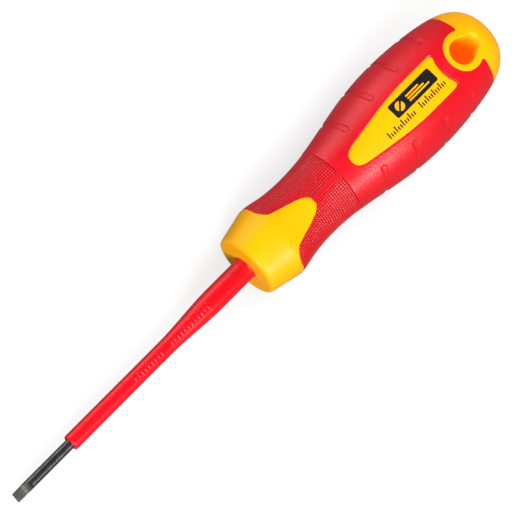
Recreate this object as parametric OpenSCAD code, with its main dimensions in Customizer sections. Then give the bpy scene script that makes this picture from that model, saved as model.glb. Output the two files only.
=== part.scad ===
// Insulated slotted screwdriver, lying along X.
// The origin is the centre of the driving tip's end face. +X runs along the
// axis to the butt, +Z is the normal of the front window, and the hang hole
// runs through the handle along Z. Front and back of the handle are alike, but
// for the scoop that opens the hole's mouth on the front.

/* [Blade] */
// Diameter of the round steel, which is also the width of the driving tip
blade_d = 2.5; // [2:0.1:3]
// Thickness of the driving tip at its end
tip_t = 0.4; // [0.3:0.05:0.6]
// Length of each ground flat behind the tip's end
tip_flat = 2.3; // [1.5:0.1:3]
// Radius of the hollow that the grinding wheel leaves behind the flat
grind_r = 3.6; // [3:0.1:6]
// Turn of the ground flats about the axis, away from the front
tip_turn = 25; // [0:5:90]
// Length from the tip's end to the handle's front face
reach = 75; // [60:1:150]
// Length of bare steel ahead of the sleeve
bare = 17.5; // [8:0.5:18]

/* [Sleeve] */
// Outer diameter of the sleeve at the tip end
sleeve_d = 4; // [3.6:0.1:4.5]
// Outer diameter of the sleeve at the handle
root_d = 5.6; // [5.2:0.1:6]
// Distance from the handle's front face to where the taper ends
root_len = 10; // [5:1:15]
// Length of the taper between the two diameters
taper_len = 17; // [8:1:20]

/* [Handle] */
// Thickness of the soft grip over the hard body
grip_t = 2.2; // [1.5:0.1:2.5]
// Depth of the two knurled fields below the grip's surface
knurl_depth = 0.35; // [0.2:0.05:0.6]
// Width of the smooth rail between the knurled fields
rail_w = 1.2; // [0.8:0.1:2]
// Depth of the finger grooves
groove_depth = 0.25; // [0.2:0.05:0.6]
// Width of the finger grooves
groove_w = 1.3; // [0.8:0.1:2]
// Depth of the window pads below the grip's surface
pad_depth = 0.4; // [0.1:0.05:0.8]

/* [Hang hole] */
// Radius of the hole, which goes right through
hole_r = 3.1; // [2.9:0.1:3.3]
// Radius of the scoop's narrow end, towards the butt
scoop_r = 1.6; // [1:0.1:2]
// Distance from the hole's axis to the centre of the scoop's narrow end
scoop_span = 4.2; // [3.5:0.1:4.5]

/* [Printing] */
// Thickness of the printed films on the window pads
ink_t = 0.05; // [0.03:0.01:0.1]
// Length of the badge along the handle
badge_l = 13.4; // [10:0.1:13.6]
// Height of the badge across the handle
badge_h = 3.7; // [3:0.1:4]
// Width of one tick in the row of marks
tick_w = 0.32; // [0.2:0.02:0.5]

/* [Hidden] */
$fn = 96;
eps = 0.01;

// Lengths along the handle are measured from its front face. Each stretch of
// the handle's outline is one cubic curve, given by its four control points.
handle_len = 80.7;
nose_len = 8.7;
neck_end = 28.5;
butt_start = 72.6;
NOSE_EDGE = [[0, 7.5], [0, 7.95], [0.3, 8.15], [0.9, 8.25]];
NOSE_CONE = [[0.9, 8.25], [3, 8.7], [5, 9.14], [6.6, 9.5]];
FLARE_TOP = [[6.6, 9.5], [7.4, 9.68], [7.9, 9.85], [8.6, 9.85]];
NECK_FALL = [[8.6, 9.85], [11.4, 9.85], [12.9, 8.57], [20.4, 8.57]];
BELLY_RISE = [[20.4, 8.57], [32.9, 8.57], [39.9, 12.53], [54, 12.53]];
BELLY_FALL = [[54, 12.53], [59.5, 12.53], [65.3, 12.02], [70.3, 11.02]];
BUTT_DOME = [[70.3, 11.02], [75.8, 9.92], [handle_len, 8.1], [handle_len, 0]];

// Points of one cubic curve in n steps, without its last point
function curve(c, n) = [for (i = [0 : n - 1]) let (t = i / n, s = 1 - t)
    s*s*s*c[0] + 3*s*s*t*c[1] + 3*s*t*t*c[2] + t*t*t*c[3]];
// Points of an arc from angle a to angle b in n steps, both ends included
function arc(centre, r, a, b, n) = [for (i = [0 : n]) let (w = a + (b - a)*i/n)
    centre + r*[cos(w), sin(w)]];
// A closed outline from its upper half, which starts and ends on the axis
function both_sides(half) = concat(half,
    [for (i = [len(half) - 2 : -1 : 1]) [half[i][0], -half[i][1]]]);

PROFILE = concat(curve(NOSE_EDGE, 4), curve(NOSE_CONE, 1), curve(FLARE_TOP, 4),
    curve(NECK_FALL, 8), curve(BELLY_RISE, 14), curve(BELLY_FALL, 8),
    curve(BUTT_DOME, 12), [[handle_len, 0]]);
// Outer radius of the handle at a length h from its front face
function handle_r(h) = lookup(h, PROFILE);

// Outline of the nose's tongue, which runs back along the front and the back
tongue_tip = 20.1;
TONGUE = both_sides(concat([[nose_len - 2, 0], [nose_len - 2, 8.3]],
    curve([[nose_len, 8.3], [nose_len, 7], [9.6, 5.45], [10.6, 5.05]], 6),
    curve([[10.6, 5.05], [12.6, 4.3], [15.6, 3.7], [17.6, 2.8]], 5),
    curve([[17.6, 2.8], [19, 2.2], [tongue_tip, 1.5], [tongue_tip, 0]], 6),
    [[tongue_tip, 0]]));

// Outline of the window: a round end, long curved sides, and a hollow end
// that keeps its distance from the loop round the hang hole
window_start = 32.4;
window_side = 4.95;
window_hollow_x = 69.6;
window_hollow_r = 7.65;
window_corner_y = 3.8;
hollow_turn = asin(window_corner_y/window_hollow_r);
window_corner_x = window_hollow_x - window_hollow_r*cos(hollow_turn);
WINDOW = both_sides(concat(
    curve([[window_start, 0], [window_start, 1.7], [33.3, 2.25], [35.2, 2.72]], 6),
    curve([[35.2, 2.72], [41.5, 3.7], [47.5, window_side], [54.5, window_side]], 8),
    [[54.5, window_side]],
    curve([[61.5, window_side], [62.6, window_side], [63.35, 4.5],
        [window_corner_x, window_corner_y]], 6),
    arc([window_hollow_x, 0], window_hollow_r, 180 - hollow_turn, 180, 5)));

// Finger grooves: where the inner end of each one lies, and how far it leans
groove_first = 37.2;
groove_pitch = 9.05;
groove_ends = [6.2, 7.2, 8, 8.4];
groove_lean = 9;

// Loop round the hang hole, and the fillet where its side meets the butt
loop_x = 69.9;
loop_r = 5;
cusp_r = 0.6;
cusp_x = butt_start - cusp_r;
cusp_y = sqrt(pow(loop_r + cusp_r, 2) - pow(cusp_x - loop_x, 2));

// Hang hole: a round bore with a scoop on the front that leads out to the butt
hole_x = 69.4;
scoop_z = 3;
scoop_lean = 65;

// Blade inside the handle
tang_end = 44;
wing_at = [21, 33];
wing_size = [7, 4.6, 0.9];
tip_taper = 1.1;

// Sleeve: its rounded front edge, the bead that seals it against the handle's
// front face, its end inside the handle and the locking ribs there
sleeve_edge = 0.35;
bead_w = 0.4;
bead_h = 0.2;
sleeve_end = 14;
rib_at = [5, 9];
rib_w = 1.6;
rib_h = 0.7;

// Hard core round the tang
core_end = 60;
core_r = 4.4;
collar_r = 5.3;
collar_w = 3;
collar_pitch = 8;

// Badge and marks on the window pads, with Y measured on the front
badge_start = 46.8;
badge_y = 1.3;
badge_corner = 0.5;
marks_y = -1.8;
tick_h = 1.7;
tick_pitch = 0.72;
mark_groups = [[42.4, 12], [52.6, 12]];
wide = 40;

module along_x() { rotate([0, 90, 0]) children(); }

// A solid turned about the X axis from [length, radius] points
module turned(points) {
    along_x() rotate_extrude() polygon([for (p = points) [p[1], p[0]]]);
}

// A prism along Z, right through the handle, of an outline in handle lengths
module through_handle() {
    translate([reach, 0, 0]) linear_extrude(height = wide, center = true) children();
}

// The handle's outer shape from length a to length b, inset by a depth
module handle_band(depth, a, b) {
    translate([reach, 0, 0]) turned(concat(
        [[a, 0], [a, handle_r(a) - depth]],
        [for (p = PROFILE) if (p[0] > a + eps && p[0] < b - eps) [p[0], p[1] - depth]],
        [[b, handle_r(b) - depth], [b, 0]]));
}

module envelope() {
    translate([reach, 0, 0]) turned(concat([[0, 0]], PROFILE));
}

// The loop round the hang hole, which grows out of the butt
module loop_outline() {
    translate([loop_x, 0]) circle(loop_r);
    difference() {
        polygon(both_sides([[loop_x, 0], [cusp_x, cusp_y], [butt_start + 1, cusp_y],
            [butt_start + 1, 0]]));
        for (side = [-1, 1]) translate([cusp_x, side*(cusp_y - eps)]) circle(cusp_r);
    }
}

// Everything that isn't hard body between the nose and the butt
module grip_space() {
    difference() {
        intersection() {
            translate([reach + nose_len, 0, 0]) along_x()
                cylinder(r = wide/2, h = butt_start - nose_len);
            difference() {
                translate([reach, 0, 0]) along_x() cylinder(r = wide/2 - 1, h = handle_len);
                handle_band(grip_t, nose_len - 1, butt_start + 1);
            }
        }
        through_handle() polygon(TONGUE);
        through_handle() polygon(WINDOW);
        through_handle() loop_outline();
    }
}

// Outline of the hole and its scoop: two circles and the sides that touch both
module mouth_outline() {
    turn = asin((hole_r - scoop_r)/scoop_span);
    translate([hole_x, 0]) circle(hole_r);
    translate([hole_x + scoop_span, 0]) circle(scoop_r);
    polygon([for (side = [1, -1], end = side > 0 ? [0, 1] : [1, 0])
        [hole_x + end*scoop_span, 0]
        + (end == 0 ? hole_r : scoop_r)*[sin(turn), side*cos(turn)]]);
}

module hang_hole() {
    through_handle() translate([hole_x, 0]) circle(hole_r);
    intersection() {
        through_handle() mouth_outline();
        translate([reach + hole_x + hole_r, 0, scoop_z]) rotate([0, -scoop_lean, 0])
            translate([-wide, -wide/2, 0]) cube([2*wide, wide, wide]);
    }
}

module groove_cuts() {
    difference() {
        for (i = [0 : len(groove_ends) - 1], side = [0, 1])
            translate([reach + groove_first + i*groove_pitch, 0, 0]) mirror([0, side, 0])
                translate([0, groove_ends[i], 0]) rotate([0, 0, groove_lean])
                    linear_extrude(height = wide, center = true) {
                        circle(d = groove_w);
                        translate([-groove_w/2, 0]) square([groove_w, wide/4]);
                    }
        handle_band(groove_depth, neck_end, butt_start);
    }
}

module knurl_cuts() {
    difference() {
        for (side = [0, 1]) mirror([0, side, 0])
            through_handle() translate([nose_len - 1, rail_w/2])
                square([neck_end - nose_len + 1, wide/2]);
        handle_band(knurl_depth, nose_len - 2, neck_end + 2);
    }
}

module pad_cuts() {
    difference() {
        through_handle() polygon(WINDOW);
        handle_band(pad_depth, window_start - 2, window_corner_x + 2);
    }
}

// One side's cut at the tip, with Z along the ground flat's normal
module ground_cut() {
    translate([0, 0, tip_t/2]) rotate([0, -tip_taper, 0]) {
        translate([-blade_d, -blade_d, 0]) cube([blade_d + tip_flat, 2*blade_d, blade_d]);
        translate([tip_flat, 0, grind_r]) rotate([90, 0, 0])
            cylinder(r = grind_r, h = 2*blade_d, center = true);
    }
}

module sleeve_outer() {
    cone_end = reach - root_len;
    turned(concat(
        [[bare, 0], [bare, sleeve_d/2 - sleeve_edge]],
        [for (w = [15 : 15 : 90]) [bare + sleeve_edge*(1 - cos(w)),
            sleeve_d/2 - sleeve_edge*(1 - sin(w))]],
        curve([[cone_end - taper_len, sleeve_d/2], [cone_end - taper_len*0.6, sleeve_d/2],
            [cone_end - taper_len*0.4, root_d/2], [cone_end, root_d/2]], 10),
        [[cone_end, root_d/2], [reach - bead_w, root_d/2], [reach, root_d/2 + bead_h],
            [reach, root_d/2], [reach + sleeve_end, root_d/2], [reach + sleeve_end, 0]]));
    for (at = rib_at) translate([reach + at, 0, 0]) along_x()
        cylinder(d = root_d + 2*rib_h, h = rib_w);
}

module core_outer() {
    translate([reach + sleeve_end, 0, 0]) along_x()
        cylinder(r = core_r, h = core_end - sleeve_end);
    for (at = [sleeve_end : collar_pitch : core_end - collar_w])
        translate([reach + at, 0, 0]) along_x() cylinder(r = collar_r, h = collar_w);
    for (turn = [0, 90]) rotate([turn, 0, 0])
        translate([reach + sleeve_end, -collar_r + 0.2, -0.8])
            cube([core_end - sleeve_end, 2*collar_r - 0.4, 1.6]);
}

module steel() {
    difference() {
        union() {
            along_x() cylinder(d = blade_d, h = reach + tang_end);
            for (i = [0 : len(wing_at) - 1])
                translate([reach + wing_at[i], 0, 0]) rotate([90*i, 0, 0])
                    translate([0, -wing_size[1]/2, -wing_size[2]/2]) cube(wing_size);
        }
        for (side = [0, 180]) rotate([tip_turn + side, 0, 0]) ground_cut();
    }
}

// Badge outline with a screw-head sign and three bars left open
module badge_outline() {
    difference() {
        union() {
            translate([badge_corner, -badge_h/2])
                square([badge_l - 2*badge_corner, badge_h]);
            translate([0, badge_corner - badge_h/2])
                square([badge_l, badge_h - 2*badge_corner]);
            for (x = [badge_corner, badge_l - badge_corner],
                 y = [badge_corner - badge_h/2, badge_h/2 - badge_corner])
                translate([x, y]) circle(badge_corner);
        }
        translate([2.3, 0]) difference() {
            circle(1.2);
            rotate(45) square([2.6, 0.45], center = true);
        }
        for (i = [0 : 2]) translate([4.8, 0.7*i - 0.95])
            square([6.6 - 1.2*i, 0.4]);
    }
}

module tick_row() {
    for (group = mark_groups, i = [0 : group[1] - 1])
        translate([group[0] + i*tick_pitch, -tick_h/2])
            square([tick_w, tick_h*(i % 3 == 0 ? 1 : 0.6)]);
}

// A printed film of an outline on the front pad, or turned onto the back pad
module printed(y, turn) {
    rotate([turn, 0, 0]) intersection() {
        translate([reach, y, 0]) linear_extrude(height = wide/2) children();
        difference() {
            handle_band(pad_depth - ink_t, window_start + 2, window_corner_x);
            handle_band(pad_depth, window_start + 1, window_corner_x + 1);
        }
    }
}

module badge(turn) {
    color("black") printed(badge_y, turn) translate([badge_start, 0]) badge_outline();
}

module size_marks(turn) {
    color("black") printed(marks_y, turn) tick_row();
}

module blade() { color("dimgray") steel(); }

module blade_sleeve() {
    color("crimson") difference() {
        sleeve_outer();
        along_x() cylinder(d = blade_d, h = reach + tang_end);
    }
}

module tang_core() {
    color("whitesmoke") difference() {
        core_outer();
        steel();
    }
}

module handle_body() {
    color("gold") difference() {
        envelope();
        grip_space();
        pad_cuts();
        hang_hole();
        sleeve_outer();
        core_outer();
    }
}

module grip() {
    color("red") difference() {
        intersection() {
            envelope();
            grip_space();
        }
        knurl_cuts();
        groove_cuts();
    }
}

blade();
blade_sleeve();
tang_core();
handle_body();
grip();
badge(0);  // front_badge
size_marks(0);  // front_size_marks
badge(180);  // back_badge
size_marks(180);  // back_size_marks
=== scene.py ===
"""Visual model of an insulated slotted screwdriver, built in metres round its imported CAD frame.

The tool lies along X with its tip at the origin. +Z is the normal of the front window. A quarter
of the handle is laid out flat, triangulated along its outlines, wrapped on the turned shape and
mirrored. Front and back differ only in the mouth of the hang hole."""
import math

import bmesh
import bpy
import numpy as np
from mathutils import Matrix, Vector
from mathutils.geometry import delaunay_2d_cdt


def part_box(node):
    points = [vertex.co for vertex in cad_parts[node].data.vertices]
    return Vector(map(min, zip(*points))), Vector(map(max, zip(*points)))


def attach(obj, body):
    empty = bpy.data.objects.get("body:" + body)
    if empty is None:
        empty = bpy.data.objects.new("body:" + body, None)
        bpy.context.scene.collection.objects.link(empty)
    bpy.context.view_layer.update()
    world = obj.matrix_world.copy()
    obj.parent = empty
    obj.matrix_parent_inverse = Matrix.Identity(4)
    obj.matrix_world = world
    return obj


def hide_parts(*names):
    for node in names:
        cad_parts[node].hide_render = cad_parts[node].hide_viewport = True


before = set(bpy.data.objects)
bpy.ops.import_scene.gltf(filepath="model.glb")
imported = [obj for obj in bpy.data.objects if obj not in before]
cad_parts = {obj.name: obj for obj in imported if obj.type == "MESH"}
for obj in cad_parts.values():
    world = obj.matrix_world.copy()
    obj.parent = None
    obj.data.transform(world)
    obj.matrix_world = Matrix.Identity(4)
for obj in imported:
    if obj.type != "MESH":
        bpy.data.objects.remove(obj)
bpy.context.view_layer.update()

MM = 0.001

# Places taken from the frame, in millimetres
handle_low, handle_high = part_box("handle_body")
REACH = handle_low[0] / MM
HANDLE_LEN = handle_high[0] / MM - REACH
SLEEVE_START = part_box("blade_sleeve")[0][0] / MM
TANG_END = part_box("blade")[1][0] / MM

# Handle: lengths from its front face, radii, widths and depths, in millimetres
BORE_R, BORE_DEPTH = 2.86, 4.0
FLARE_X, FLARE_R = 8.6, 9.85
WAIST_X, WAIST_R = 20.4, 8.57
BELLY_X, BELLY_R = 54, 12.53
GRIP_T = 2.2
NOSE_LEN, NOSE_BEVEL = 8.7, 0.47
TONGUE_TIP = 20.1
NECK_END = 28.5
BUTT_START = 72.6

# The sunk window pad, and its hollow end round the loop
WINDOW_START, WINDOW_SIDE = 32.4, 4.95
WINDOW_LIP, PAD_DEPTH = 0.3, 0.4
WINDOW_ROUNDING = 0.4  # how far the window's corners are rounded off
HOLLOW_X, HOLLOW_R, WINDOW_CORNER_Y = 69.6, 7.65, 3.8

# The loop round the hang hole, and the hole
LOOP_X, LOOP_R, CUSP_R = 69.9, 5.0, 0.6
LOOP_EDGE = (0.3, 0.12)  # width and depth of the rounding along the loop
HOLE_X, HOLE_R = 69.4, 3.1
MOUTH_R = 3.4  # the hole's mouth, with its rounded rim
SCOOP_X, SCOOP_R = 73.2, 2.25  # the far end of the front mouth, which a scoop draws out
RIM_STEEPNESS = 2.4  # depth of the rim's curve for its width

# The knurled field on the neck
KNURL_DEPTH = 0.36
KNURL_DOTS = 22  # in a quarter turn
KNURL_PITCH = 0.62
DOT_SAMPLES = 4  # mesh points for one dot each way
DOT_HEIGHT = 0.18
DOT_FULLNESS = 0.8  # a power below 1 makes the dots fuller than cosines
KNURL_FADE = [math.radians(50), math.radians(72)]  # turns between which the dots run out
SIDE_SHARE = 0.2  # share of the knurled field's depth that is left at the side
RAIL_HALF = 0.6  # half the width of the smooth rail down the middle
FIELD_CORNER = 0.5
UNDER_NOSE = 0.12  # how far the field runs on under the nose's edge
FIELD_EDGE = (-0.02, 0.1)  # how far inside the field its floor starts and is fully sunk
GAP_EDGE = (0.0, 0.12)  # the same for the painted shade between the dots
DOT_EDGE = (0.12, 0.35)  # the same for the dots
SHADE_BETWEEN_DOTS, HIGHLIGHT_ON_DOTS = "painted_shade_between_dots", "painted_highlight_on_dots"  # attributes of the painted shade between the dots and the painted highlight on them

# The finger grooves
GROOVE_X = [37.2 + 9.05 * i for i in range(4)]
GROOVE_Y = [6.2, 7.2, 8.0, 8.4]
GROOVE_LEAN = math.radians(9)
GROOVE_HALF, GROOVE_DEPTH = 0.65, 0.25
GROOVE_EDGE = 0.14  # half the width of the slope along a groove

# Mesh: spacing and clearance of points in the flat layout
FACE_SPACING, HIDDEN_SPACING = 0.6, 0.75
OUTLINE_CLEAR, DOT_CLEAR, GROOVE_CLEAR, INNER_CLEAR, FACE_CLEAR = 0.045, 0.06, 0.1, 0.3, 0.33
SHARP_DEGREES = 50
WELD = 4e-6  # metres within which the quarters' points become one

# The handle's outline as cubic curves, each given by its four [length, radius] control points
HANDLE_OUTLINE = [
    [(0, BORE_R), (0, 4.3), (0, 5.7), (0, 7.5)],
    [(0, 7.5), (0, 7.95), (0.3, 8.15), (0.9, 8.25)],
    [(0.9, 8.25), (3, 8.7), (5, 9.14), (6.6, 9.5)],
    [(6.6, 9.5), (7.4, 9.68), (7.9, FLARE_R), (FLARE_X, FLARE_R)],
    [(FLARE_X, FLARE_R), (11.4, FLARE_R), (12.9, WAIST_R), (WAIST_X, WAIST_R)],
    [(WAIST_X, WAIST_R), (32.9, WAIST_R), (39.9, BELLY_R), (BELLY_X, BELLY_R)],
    [(BELLY_X, BELLY_R), (59.5, BELLY_R), (65.3, 12.02), (70.3, 11.02)],
    [(70.3, 11.02), (75.8, 9.92), (HANDLE_LEN, 8.1), (HANDLE_LEN, 0)],
]


# ------------ outlines

def cubic(control, steps):
    """Points of one cubic curve, both ends included."""
    t = np.linspace(0, 1, steps + 1)[:, None]
    a, b, c, d = (np.array(p, float) for p in control)
    return (1 - t) ** 3 * a + 3 * (1 - t) ** 2 * t * b + 3 * (1 - t) * t ** 2 * c + t ** 3 * d


def arc(centre, radius, start, end, steps):
    """Points of an arc between two angles in degrees, both ends included."""
    a = np.radians(np.linspace(start, end, steps + 1))
    return np.c_[centre[0] + radius * np.cos(a), centre[1] + radius * np.sin(a)]


def joined(*runs):
    """One polyline of several that meet end to end."""
    return np.vstack([runs[0]] + [np.asarray(r, float)[1:] for r in runs[1:]])


def resampled(points, spacing):
    """The polyline with evenly spaced points about the given distance apart."""
    run = np.r_[0, np.cumsum(np.linalg.norm(np.diff(points, axis=0), axis=1))]
    t = np.linspace(0, run[-1], max(2, round(run[-1] / spacing)) + 1)
    return np.c_[np.interp(t, run, points[:, 0]), np.interp(t, run, points[:, 1])]


def softened(points, reach, step=0.1):
    """The polyline with its corners rounded off over a reach in mm, and its ends in place."""
    fine = resampled(points, step)
    n = round(reach / step)
    padded = np.vstack([2 * fine[0] - fine[n:0:-1], fine, 2 * fine[-1] - fine[-2:-n - 2:-1]])
    kernel = np.full(2 * n + 1, 1 / (2 * n + 1))
    return np.array([np.convolve(column, kernel, "valid") for column in padded.T]).T


class Turned:
    """The handle's turned surface, by the distance u in mm along its outline."""

    def __init__(self, outline, steps=80):
        points = joined(*[cubic(c, steps) for c in outline])
        self.h, self.r = points.T
        self.u = np.r_[0, np.cumsum(np.hypot(np.diff(self.h), np.diff(self.r)))]
        self.end = self.u[-1]
        slope = np.gradient(points, self.u, axis=0)
        self.slope = slope / np.linalg.norm(slope, axis=1)[:, None]

    def length(self, u):
        return np.interp(u, self.u, self.h)

    def radius(self, u):
        return np.interp(u, self.u, self.r)

    def distance(self, h):
        return np.interp(h, self.h, self.u)

    def radius_at(self, h):
        return self.radius(self.distance(h))

    def place(self, u, turn, lift):
        """Points in mm at distance u, turned from the front, lifted off the surface."""
        dh, dr = (np.interp(u, self.u, s) for s in self.slope.T)
        r = self.radius(u) + lift * dh
        x = REACH + self.length(u) - lift * dr
        return np.c_[x, r * np.sin(turn), r * np.cos(turn)]


TURNED = Turned(HANDLE_OUTLINE)
SPREAD = 11.0  # mm of the flat layout for one radian
SIDE = SPREAD * math.pi / 2  # the side of the handle in the flat layout


def laid_out(plan):
    """Flat layout of plan points [length, y]."""
    h, y = np.asarray(plan, float).T
    turn = np.arcsin(np.clip(y / TURNED.radius_at(h), 0, 1))
    return np.c_[TURNED.distance(h), turn * SPREAD]


def ring_to_side(h, y):
    """Straight run in the flat layout along the ring at length h, from y to the side."""
    start = laid_out([(h, y)])[0]
    return np.array([start, [start[0], SIDE]])


def nose_line():
    """Edge of the nose, from the tip of its tongue to the side."""
    plan = joined(
        cubic([(TONGUE_TIP, 0), (TONGUE_TIP, 1.5), (19, 2.2), (17.6, 2.8)], 24),
        cubic([(17.6, 2.8), (15.6, 3.7), (12.6, 4.3), (10.6, 5.05)], 24),
        cubic([(10.6, 5.05), (9.6, 5.45), (NOSE_LEN, 7), (NOSE_LEN, 8.3)], 24))
    return joined(laid_out(plan), ring_to_side(NOSE_LEN, 8.3))


def window_line():
    """Half of the window's edge, from its start to its hollow end."""
    straight = (54.5, 61.5)
    turn = math.degrees(math.asin(WINDOW_CORNER_Y / HOLLOW_R))
    corner_x = HOLLOW_X - HOLLOW_R * math.cos(math.radians(turn))
    plan = joined(
        cubic([(WINDOW_START, 0), (WINDOW_START, 1.7), (33.3, 2.25), (35.2, 2.72)], 24),
        cubic([(35.2, 2.72), (41.5, 3.7), (47.5, WINDOW_SIDE), (straight[0], WINDOW_SIDE)], 40),
        np.c_[np.linspace(*straight, 20), np.full(20, WINDOW_SIDE)],
        cubic([(straight[1], WINDOW_SIDE), (62.6, WINDOW_SIDE), (63.35, 4.5),
               (corner_x, WINDOW_CORNER_Y)], 20),
        arc((HOLLOW_X, 0), HOLLOW_R, 180 - turn, 180, 20))
    return laid_out(softened(plan, WINDOW_ROUNDING))


def loop_line():
    """Edge of the loop and the butt, from the loop's front to the side."""
    fillet_x = BUTT_START - CUSP_R
    fillet_y = math.sqrt((LOOP_R + CUSP_R) ** 2 - (fillet_x - LOOP_X) ** 2)
    turn = math.degrees(math.atan2(fillet_y, fillet_x - LOOP_X))
    plan = joined(
        arc((LOOP_X, 0), LOOP_R, 180, turn, 48),
        arc((fillet_x, fillet_y), CUSP_R, turn - 180, 0, 16))
    return joined(laid_out(plan), ring_to_side(BUTT_START, fillet_y))


def mouth_line():
    """Plan of the hole's front mouth: two arcs and the side that touches both."""
    turn = 90 - math.degrees(math.asin((MOUTH_R - SCOOP_R) / (SCOOP_X - HOLE_X)))
    wide = arc((HOLE_X, 0), MOUTH_R, 180, turn, 40)
    narrow = arc((SCOOP_X, 0), SCOOP_R, turn, 0, 24)
    return resampled(np.vstack([wide, narrow]), 0.25)


def mouth_angles():
    """Angle about the hole's axis of each point of the front mouth."""
    h, y = mouth_line().T
    return np.arctan2(y, h - HOLE_X)


def round_mouth_line():
    """Plan of the back mouth: a circle with a point for each point of the front mouth."""
    angles = mouth_angles()
    return np.c_[HOLE_X + MOUTH_R * np.cos(angles), MOUTH_R * np.sin(angles)]


FRONT = {"nose": resampled(nose_line(), 0.3), "window": resampled(window_line(), 0.2),
         "loop": resampled(loop_line(), 0.2), "hole": laid_out(mouth_line())}
BACK = {**FRONT, "hole": laid_out(round_mouth_line())}


# ------------ distances and regions

def distance_to(line, points):
    """Distance in mm of flat-layout points from a polyline, at the surface's own scale."""
    stretch = (TURNED.radius(points[:, 0]) / SPREAD)[:, None]
    a, b = line[:-1], line[1:]
    ax, ay = a[:, 0][None], a[:, 1][None] * stretch
    dx, dy = (b - a)[:, 0][None], (b - a)[:, 1][None] * stretch
    px, py = points[:, 0][:, None], points[:, 1][:, None] * stretch
    t = np.clip(((px - ax) * dx + (py - ay) * dy) / (dx * dx + dy * dy), 0, 1)
    return np.sqrt(((px - ax - t * dx) ** 2 + (py - ay - t * dy) ** 2).min(axis=1))


def inside(polygon, points):
    """Whether each point lies in the closed polygon."""
    x, y = points.T
    result = np.zeros(len(points), bool)
    for (x0, y0), (x1, y1) in zip(polygon, np.roll(polygon, -1, axis=0)):
        if y0 != y1:
            crosses = (y0 > y) != (y1 > y)
            result ^= crosses & (x < (x1 - x0) * (y - y0) / (y1 - y0) + x0)
    return result


def regions(points, lines):
    """Name of the region of each flat-layout point: nose, pad, butt, hole or grip."""
    nose = np.vstack([lines["nose"], [[0, SIDE], [0, 0]]])
    butt = np.vstack([lines["loop"], [[TURNED.end, SIDE], [TURNED.end, 0]]])
    names = np.full(len(points), "grip", dtype=object)
    names[inside(nose, points)] = "nose"
    names[inside(lines["window"], points)] = "pad"
    names[inside(butt, points)] = "butt"
    names[inside(lines["hole"], points)] = "hole"
    return names


def smooth(low, high, value):
    """A smooth step from 0 at low to 1 at high."""
    t = np.clip((value - low) / (high - low), 0, 1)
    return t * t * (3 - 2 * t)


def rounded(distance, width, depth):
    """Lift of an edge that rounds off over a width and ends a depth down."""
    t = np.clip(1 - distance / width, 0, 1)
    return -depth * (1 - np.sqrt(1 - t * t))


def bevelled(distance, width, depth, crease=0.15):
    """Lift of an edge that slopes down over a width, with a slightly rounded crease."""
    t = np.clip(1 - distance / width, 0, 1)
    return -depth * np.where(t < crease, t * t / (2 * crease), t - crease / 2) / (1 - crease / 2)


def field_distance(points):
    """How far a point lies inside the knurled field's far end and rail, in mm."""
    r = TURNED.radius(points[:, 0])
    a = TURNED.distance(NECK_END) - points[:, 0]
    b = points[:, 1] / SPREAD * r - RAIL_HALF
    corner = FIELD_CORNER - np.hypot(FIELD_CORNER - a, FIELD_CORNER - b)
    return np.where((a < FIELD_CORNER) & (b < FIELD_CORNER), corner, np.minimum(a, b))


def groove_distance(points, i):
    """Distance in mm of each point from the centre line of finger groove i."""
    r = TURNED.radius(points[:, 0])
    turn = points[:, 1] / SPREAD
    along = r * np.sin(turn) - GROOVE_Y[i]
    off = TURNED.length(points[:, 0]) - GROOVE_X[i]
    end_turn = math.asin(GROOVE_Y[i] / float(TURNED.radius_at(GROOVE_X[i])))
    short = np.minimum((turn - end_turn) * r, 0)
    line = np.abs(off + np.maximum(along, 0) * math.tan(GROOVE_LEAN)) * math.cos(GROOVE_LEAN)
    return np.hypot(line, short)


def field_depth(points):
    """How far a point lies inside the knurled field, in mm."""
    return np.minimum(field_distance(points), distance_to(FRONT["nose"], points) + UNDER_NOSE)


def dots(points):
    """Height of the knurl's dots, from 0 between them to 1 on top."""
    a = (points[:, 0] - TURNED.distance(NECK_END)) / KNURL_PITCH
    b = points[:, 1] / SIDE * KNURL_DOTS
    waves = (0.5 - 0.5 * np.cos(2 * math.pi * a)) * (0.5 - 0.5 * np.cos(2 * math.pi * b))
    return waves ** DOT_FULLNESS


def knurl_share(points):
    """How much of the knurl is left at each point, from 1 at the front to 0 at the side."""
    return 1 - smooth(*KNURL_FADE, points[:, 1] / SPREAD)


def sunk(points):
    """Share of the knurled field's depth at each point."""
    return SIDE_SHARE + (1 - SIDE_SHARE) * knurl_share(points)


def knurl(points):
    """Lift of the knurled field: its floor and the raised dots."""
    depth = field_depth(points)
    floor = -KNURL_DEPTH * sunk(points) * smooth(*FIELD_EDGE, depth)
    raised = dots(points) * smooth(*DOT_EDGE, depth) * knurl_share(points)
    return floor + DOT_HEIGHT * raised


def grip_lift(points):
    """Lift of the grip's outer face, with its knurl, grooves and edges."""
    lift = knurl(points)
    for i in range(len(GROOVE_X)):
        edge = groove_distance(points, i)
        lift -= GROOVE_DEPTH * (1 - smooth(GROOVE_HALF - GROOVE_EDGE, GROOVE_HALF + GROOVE_EDGE, edge))
    lift += bevelled(distance_to(FRONT["window"], points), WINDOW_LIP, PAD_DEPTH)
    lift += rounded(distance_to(FRONT["loop"], points), *LOOP_EDGE)
    return lift


def body_lift(points, names):
    """Lift of the body's outer face: its pad and the edges of nose and butt."""
    lift = np.where(names == "pad", -PAD_DEPTH, 0.0)
    nose = bevelled(distance_to(FRONT["nose"], points), NOSE_BEVEL, KNURL_DEPTH) * sunk(points)
    lift += np.where(names == "nose", nose, 0)
    loop = rounded(distance_to(FRONT["loop"], points), *LOOP_EDGE)
    return lift + np.where(names == "butt", loop, 0)


# ------------ laying out the points

def on_layout(points):
    """Points kept inside the layout, with those a hair off a seam moved onto it."""
    points = points.copy()
    for edge in (0.0, SIDE):
        points[np.abs(points[:, 1] - edge) < 1e-4, 1] = edge
    u, s = points.T
    return points[(s >= 0) & (s <= SIDE) & (u >= 0) & (u <= TURNED.end)]


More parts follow.
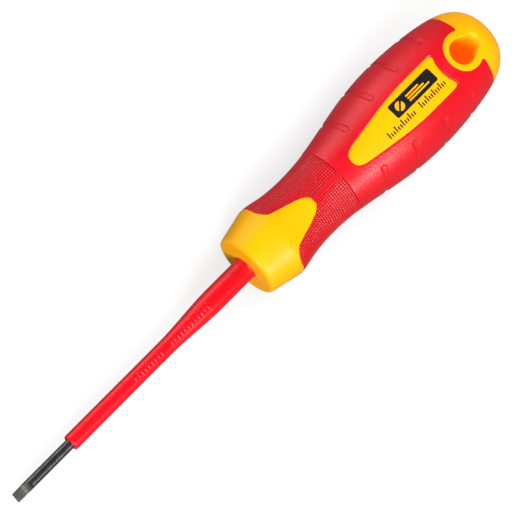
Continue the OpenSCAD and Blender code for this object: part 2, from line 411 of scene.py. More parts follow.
def beside(line, offsets):
    """Rows of points at the given distances to both sides of a line."""
    stretch = TURNED.radius(line[:, 0]) / SPREAD
    true = np.c_[line[:, 0], line[:, 1] * stretch]
    step = np.gradient(true, axis=0)
    normal = np.c_[-step[:, 1], step[:, 0]] / np.linalg.norm(step, axis=1)[:, None]
    for end in (0, -1):  # a line meets its seam square on
        normal[end] = (np.sign(normal[end, 0]), 0)
    rows = []
    for offset in offsets:
        for side in (-1, 1):
            moved = true + side * offset * normal
            row = on_layout(np.c_[moved[:, 0], moved[:, 1] / stretch])
            rows.append(row[distance_to(line, row) > 0.93 * offset])  # drops those in a tight bend
    return np.vstack(rows)


def fill(spacing):
    """Staggered points over the whole layout, with both seams filled."""
    rows = []
    height = 0.87 * spacing  # of a row of equal-sided triangles
    s = np.linspace(0, SIDE, round(SIDE / spacing) + 1)
    for k, u in enumerate(np.linspace(0, TURNED.end, round(TURNED.end / height) + 1)):
        row = s if k % 2 == 0 else np.r_[0, (s[1:] + s[:-1]) / 2, SIDE]
        rows.append(np.c_[np.full(len(row), u), row])
    return np.vstack(rows)


def groove_points():
    """Rows of points along the finger grooves and round their ends."""
    rows = []
    slope = np.array([-GROOVE_EDGE, -0.05, 0.05, GROOVE_EDGE])
    offsets = np.r_[0, 0.3, GROOVE_HALF + slope, 1.1]
    for x, y in zip(GROOVE_X, GROOVE_Y):
        r = float(TURNED.radius_at(x))
        start = math.asin(y / r)
        turn = np.linspace(start, math.pi / 2, round((math.pi / 2 - start) * r / 0.4) + 1)
        centre = x - np.maximum(r * np.sin(turn) - y, 0) * math.tan(GROOVE_LEAN)
        for offset in np.r_[-offsets, offsets[1:]]:
            rows.append(np.c_[TURNED.distance(centre + offset), turn * SPREAD])
        for offset in offsets[1:]:
            cap = np.radians(np.linspace(180, 360, 3 + round(offset * 8)))[1:-1]
            u = TURNED.distance(x) + offset * np.cos(cap)
            rows.append(np.c_[u, (start + offset * np.sin(cap) / r) * SPREAD])
    return on_layout(np.vstack(rows))


def knurl_points():
    """A grid of points that follows the knurl's dots."""
    step = KNURL_PITCH / DOT_SAMPLES
    start, end = TURNED.distance(NOSE_LEN), TURNED.distance(NECK_END)
    u = end - step * np.arange(int((end - start) / step) + 1)
    s = np.linspace(0, SIDE, KNURL_DOTS * DOT_SAMPLES + 1)
    grid = np.stack(np.meshgrid(u, s), -1).reshape(-1, 2)
    keep = (field_distance(grid) > -0.3) & (regions(grid, FRONT) == "grip")
    grid = grid[keep]
    return grid[distance_to(FRONT["nose"], grid) > 0.1]


# Distances from each outline of the rows of points that follow it
EDGE_ROWS = {"nose": [0.14, 0.3, 0.4, 0.47, 0.55], "window": [0.08, 0.16, 0.22, 0.26, 0.3, 0.4],
             "loop": [0.05, 0.13, 0.25, 0.38, 0.52], "hole": [0.22, 0.5]}


def gathered(*sets):
    """Point sets in order of rank: a later point too close to an earlier one is dropped."""
    cell = 0.07
    kept = {}
    result = []
    for points in sets:
        for p in points:
            key = (round(p[0] / cell), round(p[1] / cell))
            near = [q for i in (-1, 0, 1) for j in (-1, 0, 1)
                    for q in kept.get((key[0] + i, key[1] + j), ())]
            if all((p[0] - q[0]) ** 2 + (p[1] - q[1]) ** 2 > (0.6 * cell) ** 2 for q in near):
                kept.setdefault(key, []).append(p)
                result.append(p)
    return np.array(result)


def clear_of(points, others, distance):
    """The points that lie at least a distance from all the others."""
    keep = np.ones(len(points), bool)
    chunk = 400  # points compared at once
    for start in range(0, len(points), chunk):
        part = points[start:start + chunk]
        gap = ((part[:, None] - others[None]) ** 2).sum(-1).min(axis=1)
        keep[start:start + chunk] = gap > distance ** 2
    return points[keep]


def delaunay(points, edges):
    """Corners and triangles that keep the edges, and the input points of each corner."""
    verts, _, faces, origin, _, _ = delaunay_2d_cdt([Vector(p) for p in points], edges, [], 0, 1e-7)
    return np.array([v[:] for v in verts]), np.array(faces), origin


def triangulated(points, lines):
    """A layout that keeps its outlines: corners, triangles, their regions, outlines' corners."""
    outline = np.vstack(list(lines.values()))
    edges, runs, start = [], {}, 0
    for name, line in lines.items():
        runs[name] = range(start, start + len(line))
        edges += [(start + i, start + i + 1) for i in range(len(line) - 1)]
        start += len(line)
    verts, faces, origin = delaunay(np.vstack([outline, points]), edges)
    place = {o: i for i, group in enumerate(origin) for o in group}
    ends = {name: [place[i] for i in run] for name, run in runs.items()}
    return verts, faces, regions(verts[faces].mean(axis=1), lines), ends


# ------------ building meshes

class Quarter:
    """Faces of one quarter of a piece of the handle, in mm, with y and z not negative."""

    def __init__(self):
        self.verts, self.faces, self.count = [], [], 0

    def add(self, verts, faces):
        self.verts.append(verts)
        self.faces += [tuple(self.count + i for i in f) for f in faces]
        self.count += len(verts)

    def strip(self, rows):
        """Quads between successive rows of equally many points."""
        n = len(rows[0])
        faces = [(k * n + i, k * n + i + 1, (k + 1) * n + i + 1, (k + 1) * n + i)
                 for k in range(len(rows) - 1) for i in range(n - 1)]
        self.add(np.vstack(rows), faces)


def whole_handle(name, front, back):
    """A whole piece: the front and back quarters, each on both sides."""
    bm = bmesh.new()
    for quarter, z in ((front, 1), (back, -1)):
        verts = np.vstack(quarter.verts)
        for y in (1, -1):
            placed = [bm.verts.new(Vector(v * (1, y, z)) * MM) for v in verts]
            for f in quarter.faces:
                corners = [placed[i] for i in f]
                bm.faces.new(corners if y * z > 0 else corners[::-1])
    bmesh.ops.remove_doubles(bm, verts=bm.verts, dist=WELD)
    bmesh.ops.dissolve_degenerate(bm, edges=bm.edges, dist=1e-7)
    return finished(name, bm)


def in_scene(name, data):
    """A new object in the scene."""
    thing = bpy.data.objects.new(name, data)
    bpy.context.scene.collection.objects.link(thing)
    return thing


def finished(name, bm, sharp_degrees=SHARP_DEGREES):
    """An object of a bmesh, smooth but for its sharp edges."""
    loose = [v for v in bm.verts if not v.link_faces]
    bmesh.ops.delete(bm, geom=loose, context="VERTS")
    bmesh.ops.recalc_face_normals(bm, faces=bm.faces)
    mesh = bpy.data.meshes.new(name)
    bm.to_mesh(mesh)
    bm.free()
    mesh.shade_smooth()
    mesh.set_sharp_from_angle(angle=math.radians(sharp_degrees))
    return in_scene(name, mesh)


def edge_points(lines):
    """All points of the outlines, and the rows of points beside them."""
    outline = np.vstack(list(lines.values()))
    rows = np.vstack([beside(line, EDGE_ROWS[name]) for name, line in lines.items()])
    return outline, clear_of(rows, outline, OUTLINE_CLEAR)


def face_layout(lines):
    """Layout of the body's outer face."""
    outline, edges = edge_points(lines)
    between = clear_of(fill(FACE_SPACING), np.vstack([outline, edges]), FACE_CLEAR)
    return triangulated(np.vstack([gathered(edges), between]), lines)


def grip_layout():
    """Layout of the grip's outer face, with its grooves and knurled fields."""
    outline, edges = edge_points(FRONT)
    grooves = clear_of(groove_points(), np.vstack([outline, edges]), GROOVE_CLEAR)
    knurled = clear_of(knurl_points(), outline, DOT_CLEAR)
    between = clear_of(fill(FACE_SPACING), np.vstack([outline, edges]), FACE_CLEAR)
    between = clear_of(between, np.vstack([grooves, knurled]), INNER_CLEAR)
    return triangulated(np.vstack([gathered(knurled, edges, grooves), between]), FRONT)


def hidden_layout():
    """Layout of the surface where body and grip meet under the grip."""
    outline = np.vstack(list(FRONT.values()))
    return triangulated(clear_of(fill(HIDDEN_SPACING), outline, INNER_CLEAR), FRONT)


def surface(layout, lift):
    """Points in mm of a layout, lifted and wrapped round the handle."""
    verts = layout[0]
    return TURNED.place(verts[:, 0], verts[:, 1] / SPREAD, lift)


def bonded(quarter, outer, face, inner, hidden):
    """Adds the surface under the grip and the walls down to it."""
    quarter.add(inner, hidden[1][hidden[2] == "grip"])
    for name in ("nose", "window", "loop"):
        quarter.strip([outer[face[3][name]], inner[hidden[3][name]]])


def grip_piece(hidden):
    """The soft grip, alike on front and back."""
    quarter = Quarter()
    face = grip_layout()
    outer = surface(face, grip_lift(face[0]))
    inner = surface(hidden, np.full(len(hidden[0]), -GRIP_T))
    quarter.add(outer, face[1][face[2] == "grip"])
    bonded(quarter, outer, face, inner, hidden)
    piece = whole_handle("soft_grip", quarter, quarter)
    store_dots(piece)
    return piece


def store_dots(piece):
    """Stores for each point of the grip how much painted shade it gets between the knurl's dots and
    how much painted highlight on one.
    """
    points = np.array([v.co[:] for v in piece.data.vertices]) / MM
    turn = np.arctan2(np.abs(points[:, 1]), np.abs(points[:, 2]))
    flat = np.c_[TURNED.distance(points[:, 0] - REACH), turn * SPREAD]
    height, depth = dots(flat), field_depth(flat)
    painted_shade_between_dots = (1 - height) * smooth(*GAP_EDGE, depth) * knurl_share(flat)
    painted_highlight_on_dots = height * smooth(*DOT_EDGE, depth) * knurl_share(flat)
    for name, values in ((SHADE_BETWEEN_DOTS, painted_shade_between_dots), (HIGHLIGHT_ON_DOTS, painted_highlight_on_dots)):
        piece.data.attributes.new(name, "FLOAT", "POINT").data.foreach_set("value", values)


def hole_rows(rim):
    """Rows of points from the hole's rim, over its rounded edge and down to the middle."""
    axis = np.array([REACH + HOLE_X, 0])
    angles = mouth_angles()
    outward = np.c_[np.cos(angles), np.sin(angles)]
    width = np.linalg.norm(rim[:, :2] - axis, axis=1) - HOLE_R
    rows = [rim]
    for a in np.radians(np.linspace(0, 90, 16))[1:]:
        plan = axis + outward * (HOLE_R + width * (1 - math.sin(a)))[:, None]
        rows.append(np.c_[plan, rim[:, 2] - RIM_STEEPNESS * width * (1 - math.cos(a))])
    return rows + [rows[-1] * (1, 1, k) for k in (0.75, 0.5, 0.25, 0)]


def body_quarter(lines, hidden):
    """A quarter of the hard body, with half of the hang hole and of the front bore."""
    quarter = Quarter()
    face = face_layout(lines)
    outer = surface(face, body_lift(face[0], point_regions(face)))
    inner = surface(hidden, np.full(len(hidden[0]), -GRIP_T))
    quarter.add(outer, face[1][np.isin(face[2], ["nose", "pad", "butt"])])
    bonded(quarter, outer, face, inner, hidden)
    quarter.strip(hole_rows(outer[face[3]["hole"]]))
    mouth = outer[face[0][:, 0] < 1e-6]
    mouth = mouth[np.argsort(mouth[:, 1])]
    depth = np.array([BORE_DEPTH, 0, 0])
    quarter.strip([mouth, mouth + depth, mouth * (1, 0, 0) + depth])
    return quarter


def body_piece(hidden):
    return whole_handle("hard_body", body_quarter(FRONT, hidden), body_quarter(BACK, hidden))


def point_regions(layout):
    """Region of each point of a layout: that of a yellow face it belongs to, if any."""
    names = np.full(len(layout[0]), "grip", dtype=object)
    for name in ("hole", "nose", "pad", "butt"):
        names[np.unique(layout[1][layout[2] == name])] = name
    return names


def ring_mesh(rows, closed):
    """A bmesh of rings of points in mm, one ring per row; closed joins the last to the first."""
    bm = bmesh.new()
    rings = [[bm.verts.new(Vector(p) * MM) for p in row] for row in rows]
    pairs = list(zip(rings, rings[1:])) + ([(rings[-1], rings[0])] if closed else [])
    for a, b in pairs:
        for i in range(len(a)):
            j = (i + 1) % len(a)
            bm.faces.new((a[i], a[j], b[j], b[i]))
    if not closed:
        bm.faces.new(rings[0])
        bm.faces.new(rings[-1])
    return bm


# ------------ sleeve

SLEEVE_R, ROOT_R, STEEL_R = 2.0, 2.8, 1.25
TAPER = (SLEEVE_START + 30.5, REACH - 10)  # where it widens towards the handle
SLEEVE_EDGE = 0.45
BEAD_W, BEAD_H = 0.45, 0.22  # bead that seals the sleeve against the handle
MARK_GROUPS = [(38.2, 9), (50.0, 12)]  # start of each group of raised bars, and how many
MARK_PITCH, MARK_HALF_W, MARK_LIFT = 1.06, 0.2, 0.13
MARK_HALF_H = [0.85, 0.5, 0.85]
MARK_SLOPE = (-0.06, 0.08)  # distances from a bar's edge between which it falls off
SLEEVE_COLUMNS = 168
SLEEVE_STEP, MARK_STEP = 0.8, 0.09  # distances between rings of mesh points


def sleeve_radius(x):
    return SLEEVE_R + (ROOT_R - SLEEVE_R) * smooth(*TAPER, x)


def bead_lift(x):
    t = np.clip((x - REACH) / BEAD_W + 1, 0, 1)
    return np.where(x > REACH, 0, BEAD_H * t * t)


def mark_lift(x, y, facing):
    """Raised plain bars on the front of the sleeve."""
    lift = np.zeros_like(y)
    for start, count in MARK_GROUPS:
        for i in range(count):
            across = np.abs(x - start - i * MARK_PITCH) - MARK_HALF_W
            up = np.abs(y) - MARK_HALF_H[i % len(MARK_HALF_H)]
            lift = np.maximum(lift, 1 - smooth(*MARK_SLOPE, np.maximum(across, up)))
    return lift * MARK_LIFT * facing


def sleeve_piece():
    """The sleeve, with its rounded front edge, raised bars, taper and bead."""
    turn = np.arange(SLEEVE_COLUMNS) * 2 * math.pi / SLEEVE_COLUMNS
    edge = np.radians(np.linspace(0, 90, 8))
    mark_end = MARK_GROUPS[-1][0] + MARK_GROUPS[-1][1] * MARK_PITCH
    # Rings: front edge, plain part, raised bars, taper, bead, and the end in the bore
    x = np.r_[SLEEVE_START + SLEEVE_EDGE * (1 - np.cos(edge)),
              np.arange(SLEEVE_START + 1, MARK_GROUPS[0][0] - 0.8, SLEEVE_STEP),
              np.arange(MARK_GROUPS[0][0] - 0.5, mark_end, MARK_STEP),
              np.arange(mark_end + 0.2, REACH - 1.2, SLEEVE_STEP),
              REACH + np.r_[np.linspace(-0.7, 0, 15), 0.01, BORE_DEPTH - 0.2]]
    r = sleeve_radius(x) + bead_lift(x)
    r[:len(edge)] -= SLEEVE_EDGE * (1 - np.sin(edge))
    rows = []
    for xi, ri in zip(x, r):
        lifted = ri + mark_lift(xi, ri * np.sin(turn), np.cos(turn) > 0)
        rows.append(ring(xi, lifted, turn))
    bore = STEEL_R + 0.01
    rows += [ring(x[-1], bore, turn), ring(x[0], bore, turn)]
    return finished("insulating_sleeve", ring_mesh(rows, True))


def ring(x, radius, turn):
    """Points of a ring about the axis."""
    return np.c_[np.full(len(turn), x), radius * np.sin(turn), radius * np.cos(turn)]


# ------------ blade

# Ground tip: half its thickness, length and taper of its flats, radius of the grind behind them
TIP_HALF, TIP_FLAT, TIP_TAPER, GRIND_R = 0.2, 2.3, math.radians(1.1), 3.6
TIP_TURN = math.radians(25)
TIP_EDGE = 0.03  # how much smaller the end face is
LEAST_FLAT = 0.999  # share of the radius at which the flats end
GROUND_END = 4.7  # all ground faces lie nearer the tip than this
WINGS = [(REACH + 24.5, 0), (REACH + 36.5, 1)]  # middle of each pair of wings, and its axis
WING_LEN = 7.0
WING_SPREAD, WING_SQUEEZE = 0.85, 0.55  # shares by which the wings widen and flatten the bar
FLAT_STEPS, ROUND_STEPS = 12, 18


def half_thickness(x):
    """Half the blade's thickness between its ground faces, up to its radius."""
    flat = TIP_HALF + x * math.tan(TIP_TAPER)
    base = TIP_HALF + TIP_FLAT * math.tan(TIP_TAPER)
    hollow = base + GRIND_R - math.sqrt(max(GRIND_R ** 2 - max(x - TIP_FLAT, 0) ** 2, 0))
    return min(flat if x < TIP_FLAT else hollow, LEAST_FLAT * STEEL_R)


def blade_ring(x, shrink=0.0):
    """Section of the blade: a round bar between two flats, turned about its axis."""
    half = half_thickness(x) - shrink
    corner = math.acos(half / STEEL_R)
    flat = np.linspace(-1, 1, FLAT_STEPS + 1)[:-1] * STEEL_R * math.sin(corner)
    round_side = np.linspace(corner, math.pi - corner, ROUND_STEPS + 1)[:-1]
    widen, squeeze = wing_scale(x)
    points = []
    for side in (1, -1):
        points += [(side * y, side * half) for y in flat]
        points += [(side * STEEL_R * math.sin(a), side * STEEL_R * math.cos(a)) for a in round_side]
    turned = []
    for y, z in points:
        y, z = y * widen * (1 - shrink), z * squeeze
        turned.append((x, y * math.cos(TIP_TURN) - z * math.sin(TIP_TURN),
                       y * math.sin(TIP_TURN) + z * math.cos(TIP_TURN)))
    return turned


def wing_scale(x):
    """How much the swaged wings widen and flatten the bar."""
    scale = [1.0, 1.0]
    for middle, axis in WINGS:
        swell = max(0.0, 1 - (2 * (x - middle) / WING_LEN) ** 2) ** 0.5
        scale[axis] += WING_SPREAD * swell
        scale[1 - axis] -= WING_SQUEEZE * swell
    return scale


def blade_piece():
    """The whole bar: dense rings on the ground tip and the wings, wide ones between."""
    ground = np.r_[np.linspace(0.05, TIP_FLAT, 10), np.linspace(TIP_FLAT + 0.1, 4.8, 26)]
    wings = [np.linspace(m - WING_LEN / 2, m + WING_LEN / 2, 25) for m, _ in WINGS]
    bar = np.r_[5.2:SLEEVE_START + 6:1.0, SLEEVE_START + 8:WINGS[0][0] - 5:6.0]
    x = np.unique(np.r_[ground, bar, wings[0], wings[1], TANG_END])
    rows = [blade_ring(0.0, TIP_EDGE)] + [blade_ring(xi) for xi in x]
    return finished("slotted_blade", ring_mesh(rows, False), 28)


# ------------ printed films

BADGE = (46.8, 1.3, 13.4, 3.7, 0.5)  # start, middle y, length, height, corner radius
SIGN_X, SIGN_R, SIGN_SLOT, SIGN_TURN = 2.3, 1.2, 0.45, 45  # the badge's screw head
BARS, BAR_X, BAR_Y, BAR_H = 3, 4.8, -0.95, 0.4  # how many, the lowest one's place, height
BAR_PITCH, BAR_LEN, BAR_STEP = 0.7, 6.6, 1.2  # each bar is a step shorter than the one below
TICKS = (-1.8, 1.7, 0.72, 0.32)  # middle y, height, pitch, width
TICK_GROUPS = [(42.4, 12), (52.6, 12)]  # start of each group of ticks, and how many
SHORT_TICK = 0.6  # share of the height. Every third tick is a long one
INK_T = 0.04
INK_SINK = 0.01  # how far the film's underside lies in the pad
INK_EDGE, INK_GRID, INK_CLEAR = 0.2, 0.4, 0.15  # spacing and clearance of its mesh points


def rounded_box(x, y, w, h, r, steps=6):
    """Outline of a rectangle with rounded corners, from its low corner."""
    corners = [(x + w - r, y + h - r, 0), (x + r, y + h - r, 90), (x + r, y + r, 180),
               (x + w - r, y + r, 270)]
    return np.vstack([arc((cx, cy), r, a, a + 90, steps) for cx, cy, a in corners])


def screw_sign(x, y):
    """A round screw head, cut in two by a slanting slot."""
    slot = math.degrees(math.asin(SIGN_SLOT / 2 / SIGN_R))
    return [arc((x, y), SIGN_R, start + slot, start + 180 - slot, 24)
            for start in (SIGN_TURN, SIGN_TURN + 180)]


def badge_loops():
    """Outlines of the badge: a plate that its screw head and bars are cut out of."""
    x, y, w, h, r = BADGE
    bars = [rounded_box(x + BAR_X, y + BAR_Y + BAR_PITCH * i, BAR_LEN - BAR_STEP * i, BAR_H, 0.1, 3)
            for i in range(BARS)]
    return [rounded_box(x, y - h / 2, w, h, r)] + screw_sign(x + SIGN_X, y) + bars


def tick_loops():
    """Outlines of the plain ticks that stand for the size marks."""
    y, h, pitch, w = TICKS
    heights = [h, h * SHORT_TICK, h * SHORT_TICK]
    return [rounded_box(start + i * pitch, y - h / 2, w, heights[i % 3], 0.06, 2)
            for start, count in TICK_GROUPS for i in range(count)]


def film_layout(loops):
    """Corners and triangles between closed outlines in plan. An outline inside one is a hole."""
    loops = [resampled(np.vstack([l, l[:1]]), INK_EDGE)[:-1] for l in loops]
    points = np.vstack(loops)
    low, high = points.min(axis=0), points.max(axis=0)
    rows = [np.arange(low[i] + INK_EDGE, high[i], INK_GRID) for i in (0, 1)]
    grid = np.stack(np.meshgrid(*rows), -1).reshape(-1, 2)
    edges, start = [], 0
    for l in loops:
        edges += [(start + i, start + (i + 1) % len(l)) for i in range(len(l))]
        start += len(l)
    verts, faces, _ = delaunay(np.vstack([points, clear_of(grid, points, INK_CLEAR)]), edges)
    middle = verts[faces].mean(axis=1)
    return verts, faces[np.sum([inside(l, middle) for l in loops], axis=0) % 2 == 1]


def film_piece(name, loops, flip):
    """A thin printed film on a window pad: flip is 1 on the front and -1 on the back."""
    verts, faces = film_layout(loops)
    bm = bmesh.new()
    layers = []
    for lift in (-PAD_DEPTH - INK_SINK, -PAD_DEPTH + INK_T):
        r = TURNED.radius_at(verts[:, 0]) + lift
        z = np.sqrt(r ** 2 - verts[:, 1] ** 2)
        layers.append([bm.verts.new(Vector(p) * MM) for p in
                       np.c_[REACH + verts[:, 0], flip * verts[:, 1], flip * z]])
    for f in faces:
        bm.faces.new([layers[1][i] for i in f])
    bmesh.ops.recalc_face_normals(bm, faces=bm.faces)
    borders = [e for e in bm.edges if e.is_boundary]
    pair = dict(zip(layers[1], layers[0]))
    for e in borders:
        a, b = e.verts
        bm.faces.new((a, b, pair[b], pair[a]))
    for f in faces:
        bm.faces.new([layers[0][i] for i in f][::-1])
    return finished(name, bm, 40)


# ------------ materials

COLOUR_RANGE, ROUGH_RANGE = (0.35, 0.65), (0.3, 0.7)  # noise over which these two drift
DRIFT_MM, WAVE_MM, WAVE_DEPTH = 9.0, 2.2, 0.02  # drift of colour, and waves of moulded faces
HOLLOW_REACH = 8.0  # mm round a point in which the body's own walls close it in, for the painted orange shade and glow
PAINTED_GLOW_RANGE = (0.72, 0.1)  # openness at which the painted orange shade and glow start and are full
# strength of the painted glow in the hollows: an emission, though the body is no lamp
PAINTED_GLOW_STRENGTH = 0.65

def new_material(name):
    """A material with its node tree, shader and position-based texture coordinates."""
    material = bpy.data.materials.new(name)
    material.use_nodes = True
    tree = material.node_tree
    shader = tree.nodes["Principled BSDF"]
    coords = tree.nodes.new("ShaderNodeTexCoord").outputs["Object"]
    return material, tree, shader, coords


def noise(tree, coords, size_mm, detail=2.0, stretch=(1, 1, 1)):
    """Noise whose features are about size_mm across."""
    mapping = tree.nodes.new("ShaderNodeMapping")
    mapping.inputs["Scale"].default_value = stretch
    tree.links.new(coords, mapping.inputs["Vector"])
    node = tree.nodes.new("ShaderNodeTexNoise")
    node.inputs["Scale"].default_value = 1 / (size_mm * MM)
    node.inputs["Detail"].default_value = detail
    tree.links.new(mapping.outputs["Vector"], node.inputs["Vector"])
    return node.outputs["Fac"]


def remapped(tree, value, low, high, new_low=0.0, new_high=1.0):
    """A value whose range from low to high becomes a new range."""
    node = tree.nodes.new("ShaderNodeMapRange")
    node.inputs["From Min"].default_value = low
    node.inputs["From Max"].default_value = high
    node.inputs["To Min"].default_value = new_low
    node.inputs["To Max"].default_value = new_high
    tree.links.new(value, node.inputs["Value"])
    return node.outputs["Result"]


def times(tree, value, factor):
    """A value times a number or another value."""
    node = tree.nodes.new("ShaderNodeMath")
    node.operation = "MULTIPLY"
    tree.links.new(value, node.inputs[0])
    if isinstance(factor, float):
        node.inputs[1].default_value = factor
    else:
        tree.links.new(factor, node.inputs[1])
    return node.outputs["Value"]


def openness(tree, reach, own_walls):
    """How open a point is within a reach in metres, between its own piece's walls or all."""
    node = tree.nodes.new("ShaderNodeAmbientOcclusion")
    node.only_local = own_walls
    node.inputs["Distance"].default_value = reach
    return node.outputs["AO"]


def mixed(tree, amount, colour):
    """A mix node that turns its first colour towards the given one by an amount."""
    node = tree.nodes.new("ShaderNodeMix")
    node.data_type = "RGBA"
    node.inputs["B"].default_value = (*colour, 1)
    tree.links.new(amount, node.inputs["Factor"])
    return node


def ramp(tree, value, low, high, colours):
    """Colours spread over a value from low to high."""
    mix = mixed(tree, remapped(tree, value, low, high), colours[1])
    mix.inputs["A"].default_value = (*colours[0], 1)
    return mix.outputs["Result"]


def shaded(material, amount, colour):
    """Turns a material's colour towards another by an amount."""
    tree = material.node_tree
    base = tree.nodes["Principled BSDF"].inputs["Base Color"]
    mix = mixed(tree, amount, colour)
    tree.links.new(base.links[0].from_socket, mix.inputs["A"])
    tree.links.new(mix.outputs["Result"], base)


def bump(tree, shader, heights):
    """Bumps of (value, depth in mm) pairs, one on another."""
    normal = None
    for value, depth in heights:
        node = tree.nodes.new("ShaderNodeBump")
        node.inputs["Strength"].default_value = 1.0
        node.inputs["Distance"].default_value = depth * MM
        tree.links.new(value, node.inputs["Height"])
        if normal is not None:
            tree.links.new(normal, node.inputs["Normal"])
        normal = node.outputs["Normal"]
    tree.links.new(normal, shader.inputs["Normal"])


def moulded(name, colours, roughness, grain_mm, grain_depth, specular=0.5):
    """Moulded plastic with a fine spark-eroded grain and a slight drift of colour."""
    material, tree, shader, coords = new_material(name)
    drift = noise(tree, coords, DRIFT_MM, 3.0)
    grain = noise(tree, coords, grain_mm, 2.0)
    waves = noise(tree, coords, WAVE_MM, 1.0)
    tree.links.new(ramp(tree, drift, *COLOUR_RANGE, colours), shader.inputs["Base Color"])
    tree.links.new(remapped(tree, grain, *ROUGH_RANGE, *roughness), shader.inputs["Roughness"])
    shader.inputs["Specular IOR Level"].default_value = specular
    bump(tree, shader, [(waves, WAVE_DEPTH), (grain, grain_depth)])
    return material


def yellow_plastic():
    """Yellow plastic with a painted orange shade and a painted glow where its own walls close it in,
    as in the hang hole. They stand in for light soaking through the plastic.
    """
    material = moulded("body_plastic", [(0.97, 0.415, 0.0), (0.97, 0.445, 0.0)],
                       roughness=(0.32, 0.42), grain_mm=0.36, grain_depth=0.05, specular=0.2)
    tree = material.node_tree
    shader = tree.nodes["Principled BSDF"]
    # Painted light: the tint towards orange is painted shade and the emission a painted glow, both
    # where the body's own walls close a point in
    painted_glow_share = remapped(tree, openness(tree, HOLLOW_REACH * MM, True), *PAINTED_GLOW_RANGE)
    shaded(material, painted_glow_share, (0.97, 0.1, 0.0))
    shader.inputs["Emission Color"].default_value = (1.0, 0.12, 0.0, 1)
    tree.links.new(times(tree, painted_glow_share, PAINTED_GLOW_STRENGTH), shader.inputs["Emission Strength"])
    return material


def grip_rubber():
    """Soft red rubber with painted shade between the knurl's dots and a painted highlight on them."""
    material = moulded("grip_elastomer", [(0.6, 0.001, 0.008), (0.67, 0.002, 0.012)],
                       roughness=(0.31, 0.43), grain_mm=0.42, grain_depth=0.06, specular=0.44)
    # Painted light: the darker colour in the gaps is painted shade, the lighter colour on the tops a
    # painted highlight
    for name, colour in ((SHADE_BETWEEN_DOTS, (0.3, 0.0, 0.003)), (HIGHLIGHT_ON_DOTS, (0.85, 0.004, 0.012))):
        part = material.node_tree.nodes.new("ShaderNodeAttribute")
        part.attribute_name = name
        shaded(material, part.outputs["Fac"], colour)
    return material


def sleeve_plastic():
    return moulded("sleeve_plastic", [(0.7, 0.001, 0.008), (0.76, 0.002, 0.012)],
                   roughness=(0.26, 0.36), grain_mm=0.4, grain_depth=0.008, specular=0.35)


def core_plastic():
    return moulded("core_plastic", [(0.62, 0.58, 0.48), (0.7, 0.66, 0.56)],
                   roughness=(0.45, 0.6), grain_mm=0.3, grain_depth=0.02)


def print_ink():
    return moulded("print_ink", [(0.006, 0.005, 0.006), (0.012, 0.01, 0.011)],
                   roughness=(0.42, 0.6), grain_mm=0.12, grain_depth=0.006, specular=0.25)


def steel(name, colours, roughness, lines_mm, lines_depth=0.004):
    """Steel with fine lines across the axis, as grinding or drawing leaves them."""
    material, tree, shader, coords = new_material(name)
    shader.inputs["Metallic"].default_value = 1.0
    lines = noise(tree, coords, lines_mm, 3.0, (3.0, 0.25, 0.25))
    patches = noise(tree, coords, 1.6, 3.0)
    tree.links.new(ramp(tree, patches, *COLOUR_RANGE, colours), shader.inputs["Base Color"])
    tree.links.new(remapped(tree, lines, *ROUGH_RANGE, *roughness), shader.inputs["Roughness"])
    bump(tree, shader, [(lines, lines_depth)])
    return material


def blade_steel():
    return steel("blade_steel", [(0.08, 0.08, 0.086), (0.13, 0.128, 0.13)],
                 roughness=(0.3, 0.45), lines_mm=0.1)


def ground_steel():
    return steel("ground_steel", [(0.036, 0.034, 0.033), (0.052, 0.05, 0.048)],
                 roughness=(0.34, 0.44), lines_mm=0.08)


# ------------ scene

def dressed(piece, material, node):
    """A finished piece that stands for its CAD node and rides with the tool."""
    piece.data.materials.append(material)
    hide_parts(node)
    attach(piece, "root")
    return piece


def build_tool():
    """All visible pieces, each in place of its CAD node. The hidden core keeps its CAD shape."""
    hidden = hidden_layout()
    dressed(grip_piece(hidden), grip_rubber(), "grip")
    dressed(body_piece(hidden), yellow_plastic(), "handle_body")
    dressed(sleeve_piece(), sleeve_plastic(), "blade_sleeve")
    blade = dressed(blade_piece(), blade_steel(), "blade")
    blade.data.materials.append(ground_steel())
    ground_faces(blade)
    ink = print_ink()
    for side, flip in (("front", 1), ("back", -1)):
        badge = film_piece(f"{side}_badge_print", badge_loops(), flip)
        ticks = film_piece(f"{side}_tick_print", tick_loops(), flip)
        dressed(badge, ink, f"{side}_badge")
        dressed(ticks, ink, f"{side}_size_marks")
    bpy.data.objects["tang_core"].data.materials[0] = core_plastic()


def ground_faces(blade):
    """Gives the ground flats of the tip their own steel."""
    flat_normal = Vector((0, -math.sin(TIP_TURN), math.cos(TIP_TURN)))
    for face in blade.data.polygons:
        on_flat = abs(face.normal.dot(flat_normal)) > 0.6  # less than 53 degrees off
        on_end = face.center.x < 0.02 * MM
        if face.center.x < GROUND_END * MM and (on_flat or on_end):
            face.material_index = 1


VIEW_TILT, VIEW_ROLL, VIEW_TURN = math.radians(16), math.radians(45.1), math.radians(1.2)
VIEW_DISTANCE = 1.0
VIEW_TARGET = Vector((0.0786, -0.0003, 0))
LENS, SENSOR = 309.2, 36.0


def view_axes():
    """The camera's right, up and back directions."""
    turn = Matrix.Rotation(-VIEW_TURN, 3, "X")
    along = turn @ Vector((math.cos(VIEW_TILT), 0, math.sin(VIEW_TILT)))
    across = turn @ Vector((0, 1, 0))
    right = along * math.cos(VIEW_ROLL) - across * math.sin(VIEW_ROLL)
    up = along * math.sin(VIEW_ROLL) + across * math.cos(VIEW_ROLL)
    return right, up, right.cross(up)


def facing(right, up, back, place):
    """A transform at a place, looking against back."""
    turn = Matrix((right, up, back)).transposed().to_4x4()
    return Matrix.Translation(place) @ turn


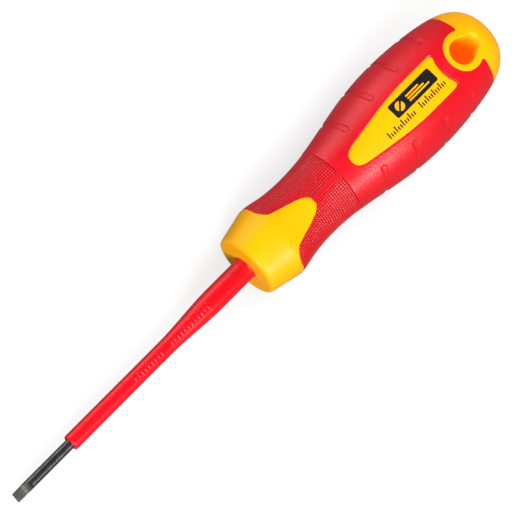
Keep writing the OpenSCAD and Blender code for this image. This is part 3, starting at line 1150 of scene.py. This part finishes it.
def add_camera():
    """The camera at the photograph's angle."""
    right, up, back = view_axes()
    data = bpy.data.cameras.new("camera")
    data.lens = LENS
    data.sensor_width = SENSOR
    camera = in_scene("camera", data)
    camera.matrix_world = facing(right, up, back, VIEW_TARGET + back * VIEW_DISTANCE)
    bpy.context.scene.camera = camera


def softbox(name, direction, distance, size, power):
    """A square area light, in metres and watts, in a direction of right, up and back."""
    right, up, back = view_axes()
    toward = (right * direction[0] + up * direction[1] + back * direction[2]).normalized()
    side = toward.cross(Vector((0, 0, 1))).normalized()
    data = bpy.data.lights.new(name, "AREA")
    data.size = size
    data.energy = power
    lamp = in_scene(name, data)
    lamp.matrix_world = facing(side, toward.cross(side), toward, VIEW_TARGET + toward * distance)
    return lamp


FLOOR_HALF = 2.5  # half the floor's side, in metres
FLOOR_GLOW = 0.86
SHADOW_REACH = 0.015  # metres from the tool in which the floor's glow is dimmed by a painted shadow
SHADOW_GLOW = 0.74  # share of the glow that the painted shadow leaves where the floor is closed in
WORLD_LIGHT = 0.15


def add_floor():
    """A pale floor that touches the handle's flare and belly, and glows where it lies open, with a
    painted shadow round the tool.
    """
    tilt = math.atan2(BELLY_R - FLARE_R, BELLY_X - FLARE_X)
    along = Vector((math.cos(tilt), 0, -math.sin(tilt)))
    across = Vector((0, 1, 0))
    up = along.cross(across)
    place = Vector((REACH + BELLY_X, 0, 0)) * MM - up * BELLY_R * MM
    bm = bmesh.new()
    bmesh.ops.create_grid(bm, x_segments=1, y_segments=1, size=FLOOR_HALF)
    mesh = bpy.data.meshes.new("floor")
    bm.to_mesh(mesh)
    bm.free()
    floor = in_scene("floor", mesh)
    floor.matrix_world = facing(along, across, up, place)
    floor.data.materials.append(floor_paper())


def floor_paper():
    """Pale paper whose glow, which only the camera sees, is dimmed round the tool as a painted shadow.
    """
    material, tree, shader, coords = new_material("floor_paper")
    shader.inputs["Roughness"].default_value = 0.9
    fleck = noise(tree, coords, 30.0)
    base = ramp(tree, fleck, *ROUGH_RANGE, [(0.15, 0.15, 0.15), (0.16, 0.16, 0.16)])
    tree.links.new(base, shader.inputs["Base Color"])
    # Painted shadow: the glow is dimmed where the tool closes the floor in
    painted_shadow = remapped(tree, openness(tree, SHADOW_REACH, False), 0.0, 1.0, SHADOW_GLOW, 1.0)
    glow = times(tree, times(tree, painted_shadow, camera_ray(tree)), FLOOR_GLOW)
    shader.inputs["Emission Color"].default_value = (1, 1, 1, 1)
    tree.links.new(glow, shader.inputs["Emission Strength"])
    return material


def camera_ray(tree):
    """1 for what the camera sees, 0 for what lights other things."""
    return tree.nodes.new("ShaderNodeLightPath").outputs["Is Camera Ray"]


def add_world():
    """A studio that looks white and lights the tool dimly."""
    world = bpy.data.worlds.new("studio")
    world.use_nodes = True
    tree = world.node_tree
    strength = remapped(tree, camera_ray(tree), 0.0, 1.0, WORLD_LIGHT, 1.0)
    background = tree.nodes["Background"]
    background.inputs["Color"].default_value = (1, 1, 1, 1)
    tree.links.new(strength, background.inputs["Strength"])
    bpy.context.scene.world = world


def add_lights():
    """The studio's lights. The glint gives a highlight only, and the butt light gives none."""
    key_side = (0.6, -0.6, 0.53)
    softbox("front_light", (-0.04, -0.54, 0.84), 1.3, 0.5, 17.5)
    softbox("key", key_side, 0.9, 0.22, 2.2)
    glint = softbox("glint", key_side, 0.88, 0.22, 3.2)
    glint.visible_diffuse = False
    softbox("left_card", (-0.72, 0.68, 0.12), 0.6, 0.7, 3.4)
    butt_light = softbox("butt_light", (0.66, 0.58, 0.48), 0.9, 0.4, 6.0)
    butt_light.visible_glossy = False


bpy.context.scene.view_settings.view_transform = "Standard"
build_tool()
add_floor()
add_world()
add_lights()
add_camera()
